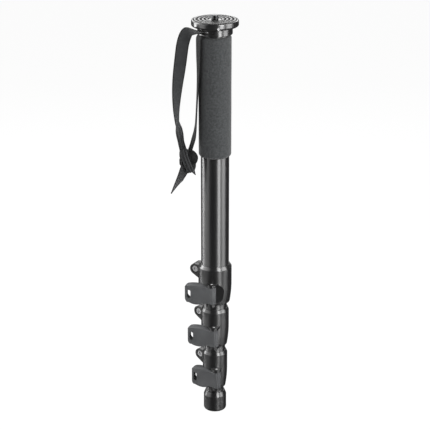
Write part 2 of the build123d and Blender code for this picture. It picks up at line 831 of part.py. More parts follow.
def strap_planes(route, turns, dips):
    """Planes across a strand at its points: X along the strap's width and Z along the strand."""
    points = [bar_level + Vector(*point) for point in route]
    planes = []
    for place, point in enumerate(points):
        before = points[max(place - 1, 0)]
        after = points[min(place + 1, len(points) - 1)]
        along = (after - before).normalized()
        turn = radians(turns[place])
        dip = radians(dips[place])
        wide = Vector(cos(turn) * cos(dip), sin(turn) * cos(dip), -sin(dip))
        wide = (wide - along * wide.dot(along)).normalized()
        planes.append(Plane(origin=point, x_dir=wide, z_dir=along))
    return planes


strands = [
    ("strap_front", front_route, front_turns, front_dips, strap_gathered_width),
    ("strap_rear", rear_route, rear_turns, rear_dips, strap_gathered_width),
    ("strap_long_tail", long_tail_route, long_tail_turns, long_tail_dips, strap_tail_tip),
    ("strap_short_tail", short_tail_route, short_tail_turns, short_tail_dips, strap_tail_tip),
]
for label, route, turns, dips, last_width in strands:
    planes = strap_planes(route, turns, dips)
    widths = [strap_width] * (len(planes) - 1) + [last_width]
    with BuildPart() as strand:
        for plane, width in zip(planes, widths):
            with BuildSketch(plane):
                Rectangle(width, strap_thickness)
        loft(ruled=True)
    strand.part.label = label
    export_step(strand.part, f"parts/{label}.step")


# Knot: the wrap across it and the two bights beside the wrap, each round about its own line
# Centre, direction, length and radius
knot_lobes = [
    ((-33.2, -14.0, -156.9), (-0.46, 0.05, 0.89), knot_wrap_length, knot_wrap_radius),
    ((-29.5, -15.0, -154.3), (0.2, 1.0, 0.1), knot_right_length, knot_right_radius),
    ((-37.0, -15.0, -159.4), (-0.1, 1.0, 0.0), knot_left_length, knot_left_radius),
]
with BuildPart() as strap_knot:
    for centre, direction, length, radius in knot_lobes:
        line = Vector(*direction).normalized()
        across = line.cross(Vector(0, 1, 0)).normalized()
        middle = bar_level + Vector(*centre)
        face = Plane(origin=middle, x_dir=across, z_dir=across.cross(line))
        with BuildSketch(face):
            with BuildLine():
                EllipticalCenterArc((0, 0), radius, length / 2, start_angle=-90, arc_size=180)
                Line((0, length / 2), (0, -length / 2))
            make_face()
        revolve(axis=Axis(middle, line))
strap_knot.part.label = "strap_knot"
export_step(strap_knot.part, "parts/strap_knot.step")
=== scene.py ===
"""Looks of the camera monopod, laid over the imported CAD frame.

Metres. The origin is the centre of the foot's bottom face, +Z is up and -Y is the front.
"""

import json
import logging
import math
from collections.abc import Callable, Sequence
from dataclasses import dataclass, field
from enum import Enum

import bmesh
import bpy
from mathutils import Euler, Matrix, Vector


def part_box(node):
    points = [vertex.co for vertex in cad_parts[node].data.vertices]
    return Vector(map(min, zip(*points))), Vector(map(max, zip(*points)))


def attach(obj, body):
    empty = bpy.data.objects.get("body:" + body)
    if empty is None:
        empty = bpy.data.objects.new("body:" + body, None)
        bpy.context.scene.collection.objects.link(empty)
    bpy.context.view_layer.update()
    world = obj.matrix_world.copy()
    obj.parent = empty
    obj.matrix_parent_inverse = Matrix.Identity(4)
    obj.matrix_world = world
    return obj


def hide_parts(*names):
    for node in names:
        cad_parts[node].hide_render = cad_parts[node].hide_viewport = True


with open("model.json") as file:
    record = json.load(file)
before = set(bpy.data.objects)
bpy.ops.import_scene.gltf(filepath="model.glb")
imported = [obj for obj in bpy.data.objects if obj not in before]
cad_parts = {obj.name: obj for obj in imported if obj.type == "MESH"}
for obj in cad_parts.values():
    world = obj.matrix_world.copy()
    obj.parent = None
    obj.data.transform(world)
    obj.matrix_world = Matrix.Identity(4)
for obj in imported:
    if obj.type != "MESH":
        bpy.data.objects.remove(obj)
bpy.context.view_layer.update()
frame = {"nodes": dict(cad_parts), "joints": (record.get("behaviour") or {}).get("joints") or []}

log = logging.getLogger("monopod")

MM = 0.001
Colour = tuple[float, float, float]
Point = tuple[float, float, float]
Span = tuple[float, float]
Socket = bpy.types.NodeSocket
Material = bpy.types.Material
Piece = bpy.types.Object

FULL: Span = (0, 1)
MIDDLE: Span = (0.3, 0.7)
WELD = 1e-6
# For each lock from the top, the pin's angle about the tube and how far the blade is turned back, in degrees
LEVER_TURNS = ((260, 16), (266, 20), (276, 26))


class Body(str, Enum):
    """The CAD bodies that single pieces ride on; each lever's beads ride on that lever."""

    UPPER = "upper_section"
    FOURTH = "section_4"


# Shader trees


class ShaderTree:
    """A material's node tree, with short calls for the nodes that the finishes use."""

    def __init__(self, name: str) -> None:
        """Start an empty material.

        Args:
            name: The material's name.
        """
        self.material = bpy.data.materials.new(name)
        self.material.use_nodes = True
        self.tree = self.material.node_tree
        self.tree.nodes.clear()
        self.output = self.tree.nodes.new("ShaderNodeOutputMaterial")
        self.shader = self.tree.nodes.new("ShaderNodeBsdfPrincipled")
        self.link(self.shader.outputs["BSDF"], self.output.inputs["Surface"])

    def node(self, kind: str, **settings: object) -> bpy.types.Node:
        """Add a node and set its own properties.

        Args:
            kind: The node's bl_idname.
            settings: Properties of the node.

        Returns:
            The new node.
        """
        made = self.tree.nodes.new(kind)
        for key, value in settings.items():
            setattr(made, key, value)
        return made

    def link(self, source: Socket, target: Socket) -> None:
        """Join two sockets."""
        self.tree.links.new(source, target)

    def set(self, **values: object) -> None:
        """Set the shader's own sockets, with underscores for the spaces in their names."""
        for key, value in values.items():
            self.shader.inputs[key.replace("_", " ")].default_value = value

    def place(self, scale: Point = (1, 1, 1), uv: bool = False) -> Socket:
        """Object or UV coordinates through a Mapping node.

        Args:
            scale: Scale along the three axes.
            uv: Whether the piece's own UV map is read in place of Object coordinates.

        Returns:
            The mapped vector's socket.
        """
        source = self.node("ShaderNodeTexCoord")
        mapping = self.node("ShaderNodeMapping")
        mapping.inputs["Scale"].default_value = scale
        self.link(source.outputs["UV" if uv else "Object"], mapping.inputs["Vector"])
        return mapping.outputs["Vector"]

    def noise(self, where: Socket, scale: float, detail: float, rough: float = 0.5) -> Socket:
        """A noise texture's value.

        Args:
            where: The vector that it is read at.
            scale: Cells in a metre.
            detail: Octaves.
            rough: How strong the finer octaves are.

        Returns:
            The value's socket, from 0 to 1.
        """
        made = self.node("ShaderNodeTexNoise")
        made.inputs["Scale"].default_value = scale
        made.inputs["Detail"].default_value = detail
        made.inputs["Roughness"].default_value = rough
        self.link(where, made.inputs["Vector"])
        return made.outputs["Fac"]

    def band(self, value: Socket, low: float, high: float, to_low: float, to_high: float) -> Socket:
        """A value mapped from one range to another, and held at its ends.

        Args:
            value: The value to map.
            low: The range's start.
            high: The range's end.
            to_low: The result at its start.
            to_high: The result at its end.

        Returns:
            The mapped value's socket.
        """
        made = self.node("ShaderNodeMapRange")
        for key, number in (("From Min", low), ("From Max", high), ("To Min", to_low), ("To Max", to_high)):
            made.inputs[key].default_value = number
        self.link(value, made.inputs["Value"])
        return made.outputs["Result"]

    def math(self, operation: str, *terms: Socket | float) -> Socket:
        """A Math node on sockets or numbers.

        Args:
            operation: The node's operation.
            terms: What it works on, in order.

        Returns:
            The result's socket.
        """
        made = self.node("ShaderNodeMath", operation=operation)
        for place, term in enumerate(terms):
            if isinstance(term, Socket):
                self.link(term, made.inputs[place])
            else:
                made.inputs[place].default_value = term
        return made.outputs["Value"]

    def colour(self, value: Socket, span: Span, dark: Colour, light: Colour) -> None:
        """Drive the base colour from a value.

        Args:
            value: The value that it follows.
            span: Where the value gives the first colour and where the second.
            dark: The first colour.
            light: The second colour.
        """
        made = self.node("ShaderNodeMix", data_type="RGBA")
        made.inputs[6].default_value = (*dark, 1)
        made.inputs[7].default_value = (*light, 1)
        self.link(self.band(value, *span, 0, 1), made.inputs[0])
        self.link(made.outputs[2], self.shader.inputs["Base Color"])

    def roughness(self, value: Socket, span: Span, first: float, second: float) -> None:
        """Drive the roughness from a value.

        Args:
            value: The value that it follows.
            span: Where the value gives the first roughness and where the second.
            first: The first roughness.
            second: The second roughness.
        """
        self.link(self.band(value, *span, first, second), self.shader.inputs["Roughness"])

    def draw(self, amount: float) -> None:
        """Stretch the highlights, as on a surface drawn or turned about the upright axis.

        Args:
            amount: The anisotropy, or 0 to leave the highlights round.
        """
        if amount:
            self.set(Anisotropic=amount, Anisotropic_Rotation=0.25)
            tangent = self.node("ShaderNodeTangent", direction_type="RADIAL", axis="Z")
            self.link(tangent.outputs["Tangent"], self.shader.inputs["Tangent"])

    def bump(self, height: Socket, depth: float, strength: float = 1.0) -> None:
        """Raise the surface by a height field.

        Args:
            height: The height, from 0 to 1.
            depth: The height of 1, in metres.
            strength: How much of it shows.
        """
        made = self.node("ShaderNodeBump")
        made.inputs["Strength"].default_value = strength
        made.inputs["Distance"].default_value = depth
        self.link(height, made.inputs["Height"])
        self.link(made.outputs["Normal"], self.shader.inputs["Normal"])


# Finishes


def lighter(colour: Colour, share: float, lift: float = 0.0) -> Colour:
    """A colour made lighter by a share and a lift, and held at 1."""
    return tuple(min(c * share + lift, 1) for c in colour)


@dataclass(frozen=True)
class DrawnTube:
    """Black anodised aluminium tube, polished along its length."""

    name: str = "black_anodised_tube"
    colour: Colour = (0.004, 0.004, 0.0045)
    patch_light: float = 1.6
    patch_span: Span = (0.35, 0.7)
    patch_stretch: Point = (1, 1, 0.3)
    roughness: float = 0.42
    smoother: float = 0.03
    rougher: float = 0.04
    index: float = 2.6
    drawn: float = 0.95
    line_stretch: Point = (1, 1, 0.02)
    line_depth: float = 0.004 * MM

    def material(self) -> Material:
        """Build the material.

        Returns:
            The finished material.
        """
        tree = ShaderTree(self.name)
        tree.set(IOR=self.index)
        tree.draw(self.drawn)
        lines = tree.noise(tree.place(self.line_stretch), scale=1400, detail=2)
        tree.roughness(lines, MIDDLE, self.roughness - self.smoother, self.roughness + self.rougher)
        patches = tree.noise(tree.place(self.patch_stretch), scale=60, detail=3)
        tree.colour(patches, self.patch_span, self.colour, lighter(self.colour, self.patch_light))
        tree.bump(lines, self.line_depth, strength=0.3)
        return tree.material


@dataclass(frozen=True)
class SatinCoat:
    """Satin paint or moulded plastic: fine grain, a little orange peel and faint rubbing."""

    name: str
    colour: Colour
    roughness: float
    smoother: float = 0.05
    rougher: float = 0.06
    grain: float = 900.0
    grain_depth: float = 0.05 * MM
    coat: float = 0.0
    index: float = 1.5
    drawn: float = 0.0
    rubbed: float = 1.35
    rubbed_span: Span = (0.35, 0.72)

    def material(self) -> Material:
        """Build the material.

        Returns:
            The finished material.
        """
        tree = ShaderTree(self.name)
        tree.set(IOR=self.index, Coat_Weight=self.coat, Coat_Roughness=0.1)
        tree.draw(self.drawn)
        place = tree.place()
        grain = tree.noise(place, self.grain, detail=3, rough=0.6)
        cloud = tree.noise(place, scale=45, detail=4)
        tree.colour(cloud, self.rubbed_span, self.colour, lighter(self.colour, self.rubbed))
        tree.roughness(cloud, MIDDLE, self.roughness - self.smoother, self.roughness + self.rougher)
        tree.bump(grain, self.grain_depth, strength=0.5)
        return tree.material


@dataclass(frozen=True)
class Steel:
    """Plated or blackened steel with fine turning marks."""

    name: str
    colour: Colour
    roughness: float
    smoother: float = 0.07
    rougher: float = 0.08
    metal: float = 1.0
    worn: float = 1.3
    worn_span: Span = (0.35, 0.7)
    mark_depth: float = 0.01 * MM

    def material(self) -> Material:
        """Build the material.

        Returns:
            The finished material.
        """
        tree = ShaderTree(self.name)
        tree.set(Metallic=self.metal)
        place = tree.place()
        marks = tree.noise(place, scale=2600, detail=2)
        tree.roughness(marks, MIDDLE, self.roughness - self.smoother, self.roughness + self.rougher)
        patches = tree.noise(place, scale=240, detail=3)
        tree.colour(patches, self.worn_span, self.colour, lighter(self.colour, self.worn))
        tree.bump(marks, self.mark_depth, strength=0.4)
        return tree.material


@dataclass(frozen=True)
class FootRubber:
    """Moulded black rubber with a satin skin and a little dust."""

    name: str = "foot_rubber"
    colour: Colour = (0.004, 0.004, 0.0045)
    dusty: float = 1.5
    dust_lift: float = 0.002
    dust_span: Span = (0.45, 0.8)
    roughness: float = 0.34
    smoother: float = 0.04
    rougher: float = 0.1
    gloss_span: Span = (0.3, 0.75)
    index: float = 2.3
    drawn: float = 0.8
    grain_depth: float = 0.03 * MM

    def material(self) -> Material:
        """Build the material.

        Returns:
            The finished material.
        """
        tree = ShaderTree(self.name)
        tree.set(IOR=self.index)
        tree.draw(self.drawn)
        place = tree.place()
        dust = tree.noise(place, scale=160, detail=5, rough=0.6)
        tree.colour(dust, self.dust_span, self.colour, lighter(self.colour, self.dusty, self.dust_lift))
        tree.roughness(dust, self.gloss_span, self.roughness - self.smoother, self.roughness + self.rougher)
        tree.bump(tree.noise(place, scale=1500, detail=3), self.grain_depth, strength=0.5)
        return tree.material


@dataclass(frozen=True)
class RidgedRubber:
    """The contact pad's rubber: the rings' crests are rubbed smooth and the grooves are matt. The rings are
    also drawn in the colour: the crests painted lighter as painted highlight, the grooves painted darker as
    painted shade.
    """

    name: str = "pad_rubber"
    # Painted shade in the grooves; the crest colour below is a painted highlight
    groove_painted_shade: Colour = (0.003, 0.003, 0.003)
    crest: Colour = (0.06, 0.06, 0.06)
    groove_roughness: float = 0.8
    crest_roughness: float = 0.22
    inner_radius: float = 7.6 * MM
    outer_radius: float = 26.6 * MM
    rings: int = 4
    crest_end: Span = (0.16, 0.28)
    index: float = 1.8
    grain_depth: float = 0.02 * MM

    def material(self) -> Material:
        """Build the material; a crest's end is given in shares of the rings' pitch, from its middle.

        Returns:
            The finished material.
        """
        tree = ShaderTree(self.name)
        tree.set(IOR=self.index)
        radius = tree.node("ShaderNodeVectorMath", operation="LENGTH")
        tree.link(tree.place((1, 1, 0)), radius.inputs[0])
        pitch = (self.outer_radius - self.inner_radius) / self.rings
        ring = tree.math("DIVIDE", tree.math("SUBTRACT", radius.outputs["Value"], self.inner_radius), pitch)
        off_middle = tree.math("ABSOLUTE", tree.math("SUBTRACT", tree.math("FRACT", ring), 0.5))
        rubbed = tree.band(off_middle, *self.crest_end, 1, 0)
        # Painted highlight on the crests and painted shade in the grooves
        tree.colour(rubbed, FULL, self.groove_painted_shade, self.crest)
        tree.roughness(rubbed, FULL, self.groove_roughness, self.crest_roughness)
        tree.bump(tree.noise(tree.place(), scale=1500, detail=3), self.grain_depth, strength=0.4)
        return tree.material


@dataclass(frozen=True)
class SleeveFoam:
    """Closed-cell foam: a matt skin of fine cells with cloudy lighter patches."""

    name: str = "grip_sleeve_foam"
    colour: Colour = (0.03, 0.032, 0.033)
    light: Colour = (0.066, 0.069, 0.071)
    light_span: Span = (0.36, 0.7)
    smoothest: float = 0.82
    roughest: float = 0.95
    cell_scale: float = 1050.0
    cell_reach: float = 0.75
    cell_depth: float = 0.16 * MM

    def material(self) -> Material:
        """Build the material.

        Returns:
            The finished material.
        """
        tree = ShaderTree(self.name)
        tree.set(IOR=1.35, Sheen_Weight=0.3, Sheen_Roughness=0.45)
        place = tree.place()
        cells = tree.node("ShaderNodeTexVoronoi")
        cells.inputs["Scale"].default_value = self.cell_scale
        tree.link(place, cells.inputs["Vector"])
        cell = tree.band(cells.outputs["Distance"], 0, self.cell_reach, 0, 1)
        cloud = tree.noise(place, scale=420, detail=5, rough=0.7)
        tree.colour(cloud, self.light_span, self.colour, self.light)
        tree.roughness(cloud, MIDDLE, self.smoothest, self.roughest)
        tree.bump(tree.math("ADD", cell, cloud), self.cell_depth, strength=0.7)
        return tree.material


@dataclass(frozen=True)
class Webbing:
    """Woven nylon tape: ribs across it, warp ends along it and a tight selvedge at each edge. Its colour is
    painted darker in the gaps between the threads and along each selvedge, as painted shade.
    """

    name: str = "nylon_webbing"
    # Painted shade: colour is what the gaps between the threads and the selvedges are darkened towards;
    # light is the threads' tone
    colour: Colour = (0.004, 0.0042, 0.0045)
    light: Colour = (0.055, 0.057, 0.06)
    sheen: float = 0.25
    rib_pitch: float = 1.1 * MM
    rib_least: float = 0.25
    warp_pitch: float = 0.8 * MM
    width: float = 15 * MM
    selvedge: float = 1.7 * MM
    # How much darker the selvedges are painted, as painted shade along the edges
    selvedge_painted_shade: float = 0.7
    selvedge_rise: float = 0.4
    gap_roughness: float = 0.72
    thread_roughness: float = 0.5
    weave_depth: float = 0.22 * MM

    def material(self) -> Material:
        """Build the material from the piece's own UV map, which is in metres across and along.

        Returns:
            The finished material.
        """
        tree = ShaderTree(self.name)
        tree.set(Sheen_Weight=self.sheen, Sheen_Roughness=0.4, IOR=1.35)
        parts = tree.node("ShaderNodeSeparateXYZ")
        tree.link(tree.place(uv=True), parts.inputs["Vector"])
        across, along = parts.outputs["X"], parts.outputs["Y"]
        turn, half_turn = 2 * math.pi, math.pi
        side = tree.math("SIGN", tree.math("SINE", tree.math("MULTIPLY", across, turn / self.warp_pitch)))
        ribs = tree.math("MULTIPLY", along, turn / self.rib_pitch)
        rib = tree.math("SINE", tree.math("ADD", ribs, tree.math("MULTIPLY", side, half_turn / 2)))
        ends = tree.math("SINE", tree.math("MULTIPLY", across, half_turn / self.warp_pitch))
        weave = tree.math("MULTIPLY", tree.band(rib, -1, 1, self.rib_least, 1), tree.math("ABSOLUTE", ends))
        half = self.width / 2
        middle = tree.math("ABSOLUTE", tree.math("SUBTRACT", across, half))
        edge = tree.band(middle, half - self.selvedge, half - self.selvedge / 2, 0, 1)
        # Painted shade: the colour is darker in the weave's gaps and darker still along the selvedges
        shade = tree.math("SUBTRACT", weave, tree.math("MULTIPLY", edge, self.selvedge_painted_shade))
        tree.colour(shade, FULL, self.colour, self.light)
        tree.roughness(weave, FULL, self.gap_roughness, self.thread_roughness)
        height = tree.math("ADD", weave, tree.math("MULTIPLY", edge, self.selvedge_rise))
        tree.bump(height, self.weave_depth, strength=0.8)
        return tree.material


@dataclass(frozen=True)
class Backdrop:
    """The studio floor: white to the eye, dim in reflections, and with the object's soft shadow."""

    name: str = "studio_floor"
    pale: float = 0.7
    to_the_eye: float = 1.08
    in_reflections: float = 0.06
    shadow_share: float = 0.12

    def material(self) -> Material:
        """Build the material.

        Returns:
            The finished material.
        """
        tree = ShaderTree(self.name)
        tree.set(Base_Color=(self.pale, self.pale, self.pale, 1), Roughness=0.9, Specular_IOR_Level=0.1)
        light = tree.node("ShaderNodeEmission")
        path = tree.node("ShaderNodeLightPath")
        glossy = path.outputs["Is Glossy Ray"]
        tree.link(tree.band(glossy, *FULL, self.to_the_eye, self.in_reflections), light.inputs["Strength"])
        seen = tree.math("MAXIMUM", path.outputs["Is Camera Ray"], path.outputs["Is Transmission Ray"])
        share = tree.math("MAXIMUM", tree.math("MULTIPLY", seen, 1 - self.shadow_share), glossy)
        mix = tree.node("ShaderNodeMixShader")
        tree.link(share, mix.inputs["Fac"])
        tree.link(tree.shader.outputs["BSDF"], mix.inputs[1])
        tree.link(light.outputs["Emission"], mix.inputs[2])
        tree.link(mix.outputs["Shader"], tree.output.inputs["Surface"])
        return tree.material


# Meshes


def mesh_object(
    name: str, verts: Sequence[Vector], faces: Sequence[Sequence[int]], uvs: Sequence[Span] | None = None
) -> Piece:
    """Make a smooth-shaded object from points and faces.

    Args:
        name: The object's name.
        verts: Its points, in metres in the part's frame.
        faces: Its faces, facing outwards.
        uvs: One UV place for each corner, in the faces' order.

    Returns:
        The linked object.
    """
    mesh = bpy.data.meshes.new(name)
    mesh.from_pydata([tuple(v) for v in verts], [], [list(f) for f in faces])
    if uvs is not None:
        layer = mesh.uv_layers.new(name="weave")
        for corner, place in enumerate(uvs):
            layer.data[corner].uv = place
    mesh.update()
    for polygon in mesh.polygons:
        polygon.use_smooth = True
    made = bpy.data.objects.new(name, mesh)
    bpy.context.scene.collection.objects.link(made)
    return made


def face_outwards(piece: Piece) -> None:
    """Merge a piece's doubles and turn its faces outwards.

    Args:
        piece: The piece, whose mesh is changed.
    """
    work = bmesh.new()
    work.from_mesh(piece.data)
    bmesh.ops.remove_doubles(work, verts=work.verts, dist=WELD)
    bmesh.ops.recalc_face_normals(work, faces=work.faces)
    work.to_mesh(piece.data)
    work.free()


def nurbs_points(name: str, route: Sequence[Vector], steps: int) -> list[Vector]:
    """Read points along a smooth NURBS spline.

    Args:
        name: A name for the curve while it is read.
        route: The spline's control points.
        steps: Points read for each control point.

    Returns:
        The points, from the first control point to the last.
    """
    curve = bpy.data.curves.new(name, "CURVE")
    curve.dimensions = "3D"
    spline = curve.splines.new("NURBS")
    spline.points.add(len(route) - 1)
    for point, place in zip(spline.points, route):
        point.co = (*place, 1)
    spline.order_u = 3
    spline.use_endpoint_u = True
    curve.resolution_u = steps
    holder = bpy.data.objects.new(name, curve)
    bpy.context.scene.collection.objects.link(holder)
    depsgraph = bpy.context.evaluated_depsgraph_get()
    mesh = bpy.data.meshes.new_from_object(holder.evaluated_get(depsgraph))
    points = [v.co.copy() for v in mesh.vertices]
    bpy.data.meshes.remove(mesh)
    bpy.data.objects.remove(holder)
    bpy.data.curves.remove(curve)
    return points


def eased(value: float, low: float, high: float) -> float:
    """0 below low, 1 above high, and a smooth rise between."""
    share = min(max((value - low) / (high - low), 0), 1)
    return share * share * (3 - 2 * share)


def between(values: Sequence[float], place: float) -> float:
    """The value at a fractional place in a list."""
    low = min(int(place), len(values) - 2)
    return values[low] + (values[low + 1] - values[low]) * (place - low)


# Geometry Nodes


class GeometryTree:
    """A Geometry Nodes tree with named inputs, ending in Realize Instances and Set Material."""

    def __init__(self, name: str) -> None:
        """Start an empty tree.

        Args:
            name: The tree's name.
        """
        self.tree = bpy.data.node_groups.new(name, "GeometryNodeTree")
        self.tree.interface.new_socket("Geometry", in_out="OUTPUT", socket_type="NodeSocketGeometry")
        self.values: dict[str, float] = {}
        self.entry = self.tree.nodes.new("NodeGroupInput")
        self.exit = self.tree.nodes.new("NodeGroupOutput")

    def size(self, name: str, value: float, whole: bool = False) -> Socket:
        """Add a named input and its value.

        Args:
            name: The input's name.
            value: What the modifier sets it to.
            whole: Whether it is a whole number.

        Returns:
            The input's socket inside the tree.
        """
        kind = "NodeSocketInt" if whole else "NodeSocketFloat"
        socket = self.tree.interface.new_socket(name, in_out="INPUT", socket_type=kind)
        self.values[socket.identifier] = int(value) if whole else float(value)
        return next(s for s in self.entry.outputs if s.identifier == socket.identifier)

    def node(
        self, kind: str, links: dict[str | int, object] | None = None, **settings: object
    ) -> bpy.types.Node:
        """Add a node, set its properties and join or set its inputs.

        Args:
            kind: The node's bl_idname.
            links: Sockets or plain values by the inputs' names or places.
            settings: Properties of the node.

        Returns:
            The new node.
        """
        made = self.tree.nodes.new(kind)
        for key, value in settings.items():
            setattr(made, key, value)
        for key, value in (links or {}).items():
            if isinstance(value, Socket):
                self.tree.links.new(value, made.inputs[key])
            else:
                made.inputs[key].default_value = value
        return made

    def math(self, operation: str, *terms: object) -> Socket:
        """A Math node on sockets or numbers."""
        return self.node("ShaderNodeMath", dict(enumerate(terms)), operation=operation).outputs[0]

    def make(self, name: str, geometry: Socket, material: Material) -> Piece:
        """Finish the tree and turn its result into a plain mesh object.

        Args:
            name: The object's name.
            geometry: The socket that holds the shape.
            material: Its finish.

        Returns:
            The object, with no modifier left on it.
        """
        real = self.node("GeometryNodeRealizeInstances", {"Geometry": geometry})
        filled = {"Geometry": real.outputs["Geometry"], "Material": material}
        dressed = self.node("GeometryNodeSetMaterial", filled)
        self.tree.links.new(dressed.outputs["Geometry"], self.exit.inputs["Geometry"])
        piece = bpy.data.objects.new(name, bpy.data.meshes.new(f"{name}_seed"))
        bpy.context.scene.collection.objects.link(piece)
        modifier = piece.modifiers.new("build", "NODES")
        modifier.node_group = self.tree
        for identifier, value in self.values.items():
            modifier[identifier] = value
        depsgraph = bpy.context.evaluated_depsgraph_get()
        result = bpy.data.meshes.new_from_object(
            piece.evaluated_get(depsgraph), preserve_all_data_layers=True, depsgraph=depsgraph
        )
        piece.modifiers.clear()
        piece.data = result
        result.name = name
        return piece


# Sub-assemblies


@dataclass
class Band:
    """A run of strap.

    Its route is in mm, and the turn and the dip of its width at each point are in degrees. It can gather
    in folds towards its end, or be cut off aslant there.
    """

    name: str
    route: list[Point]
    turns: list[float]
    dips: list[float]
    width: float = 15 * MM
    thickness: float = 1.2 * MM
    edge_least: float = 0.25
    edge_power: int = 14
    crown: float = 0.5 * MM
    gather_start: float = 2.0
    gather_end: float = 3.0
    gathered_share: float = 0.6
    fold_depth: float = 0.0
    folds: float = 2.5
    fold_phase: float = 0.6
    cut_length: float = 0.0
    cut_share: float = 0.97
    columns: int = 24
    steps: int = 8

    def line(self) -> list[Vector]:
        """Points along the band's middle."""
        return nurbs_points(self.name, [Vector(p) * MM for p in self.route], self.steps)

    def section(self, share: float, ahead: float) -> list[Point]:
        """The strap's section at a place, as a closed ring.

        Args:
            share: The place, from 0 at the start to 1 at the end.
            ahead: The length that is left ahead of it.

        Returns:
            For each point its place across the strap, from 0 to 1, its offset and its height.
        """
        gathered = eased(share, self.gather_start, self.gather_end)
        left = right = self.width / 2 * (1 - gathered * (1 - self.gathered_share))
        if self.cut_length:
            right -= (left + right) * self.cut_share * min(max(1 - ahead / self.cut_length, 0), 1)
        ring = []
        for side in (1, -1):
            for column in range(self.columns + 1):
                across = column / self.columns if side > 0 else 1 - column / self.columns
                fold = math.sin(2 * math.pi * self.folds * across + self.fold_phase)
                bow = self.crown * (1 - (2 * across - 1) ** 2)
                edge = max(1 - abs(2 * across - 1) ** self.edge_power, self.edge_least)
                level = bow + gathered * self.fold_depth * fold + side * self.thickness / 2 * edge
                ring.append((across, -left + (left + right) * across, level))
        return ring

    def build(self, line: list[Vector]) -> Piece:
        """Sweep the strap's section along its middle line.

        Args:
            line: Points along the band's middle.

        Returns:
            The band as a closed mesh with a UV map in metres.
        """
        verts: list[Vector] = []
        rows: list[list[Span]] = []
        lengths = [0.0]
        for before, after in zip(line, line[1:]):
            lengths.append(lengths[-1] + (after - before).length)
        for place, point in enumerate(line):
            share = place / (len(line) - 1)
            key = share * (len(self.route) - 1)
            turn = math.radians(between(self.turns, key))
            dip = math.radians(between(self.dips, key))
            along = (line[min(place + 1, len(line) - 1)] - line[max(place - 1, 0)]).normalized()
            wide = Vector((math.cos(turn) * math.cos(dip), math.sin(turn) * math.cos(dip), -math.sin(dip)))
            wide = (wide - along * wide.dot(along)).normalized()
            proud = wide.cross(along).normalized()
            ring = self.section(share, lengths[-1] - lengths[place])
            verts += [point + wide * offset + proud * level for _, offset, level in ring]
            rows.append([(self.width * across, lengths[place]) for across, _, _ in ring])
        ring = 2 * (self.columns + 1)
        faces, uvs = [], []
        for place in range(len(line) - 1):
            for step in range(ring):
                after = (step + 1) % ring
                corners = [(place, step), (place, after), (place + 1, after), (place + 1, step)]
                faces.append([row * ring + spot for row, spot in corners])
                uvs.extend(rows[row][spot] for row, spot in corners)
        for row, order in ((0, -1), (len(line) - 1, 1)):
            cap = list(range(ring))[::order]
            faces.append([row * ring + spot for spot in cap])
            uvs.extend(rows[row][spot] for spot in cap)
        piece = mesh_object(self.name, verts, faces, uvs)
        face_outwards(piece)
        return piece


@dataclass
class Lobe:
    """A gathered lump of the knot: tape folded lengthwise, drawn together at both ends.

    Its centre, length and radius are in mm.
    """

    name: str
    centre: Point
    direction: Point
    length: float
    radius: float
    flatness: float = 0.85
    folds: int = 7
    fold_depth: float = 0.7 * MM
    twist: float = 0.6
    phase: float = 0.0
    fullness: float = 0.62
    crease_power: float = 0.7
    crease_share: float = 1.6
    lump_share: float = 0.35
    lumps: int = 3
    lump_twist: float = 5.0
    across: int = 96
    along: int = 40

    def build(self) -> Piece:
        """Build the lump.

        Returns:
            The lump as a closed mesh with a UV map in metres.
        """
        line = Vector(self.direction).normalized()
        side = line.cross(Vector((0, 1, 0))).normalized()
        deep = side.cross(line).normalized()
        centre = Vector(self.centre) * MM
        half = self.length * MM / 2
        radius = self.radius * MM
        verts, places = [], []
        for step in range(self.along + 1):
            share = -1 + 2 * step / self.along
            reach = math.sin(share * math.pi / 2)
            swell = max(1 - reach * reach, 0) ** self.fullness
            for spoke in range(self.across):
                angle = 2 * math.pi * spoke / self.across
                wave = math.sin(self.folds * angle + self.phase + self.twist * reach * math.pi)
                crease = 1 - abs(wave) ** self.crease_power
                lump = math.sin(self.lumps * angle + self.lump_twist * reach)
                out = (radius - self.fold_depth * self.crease_share * crease) * swell
                out += self.lump_share * self.fold_depth * swell * lump
                spread = side * out * math.cos(angle) + deep * out * self.flatness * math.sin(angle)
                verts.append(centre + line * half * reach + spread)
                places.append((angle * radius, (reach + 1) * half))
        faces, uvs = [], []
        for step in range(self.along):
            for spoke in range(self.across):
                after = (spoke + 1) % self.across
                corners = [(step, spoke), (step, after), (step + 1, after), (step + 1, spoke)]
                faces.append([row * self.across + spot for row, spot in corners])
                for row, spot in corners:
                    wide, long = places[row * self.across + spot]
                    at_seam = after == 0 and spot == 0
                    uvs.append((2 * math.pi * radius if at_seam else wide, long))
        piece = mesh_object(self.name, verts, faces, uvs)
        face_outwards(piece)
        return piece


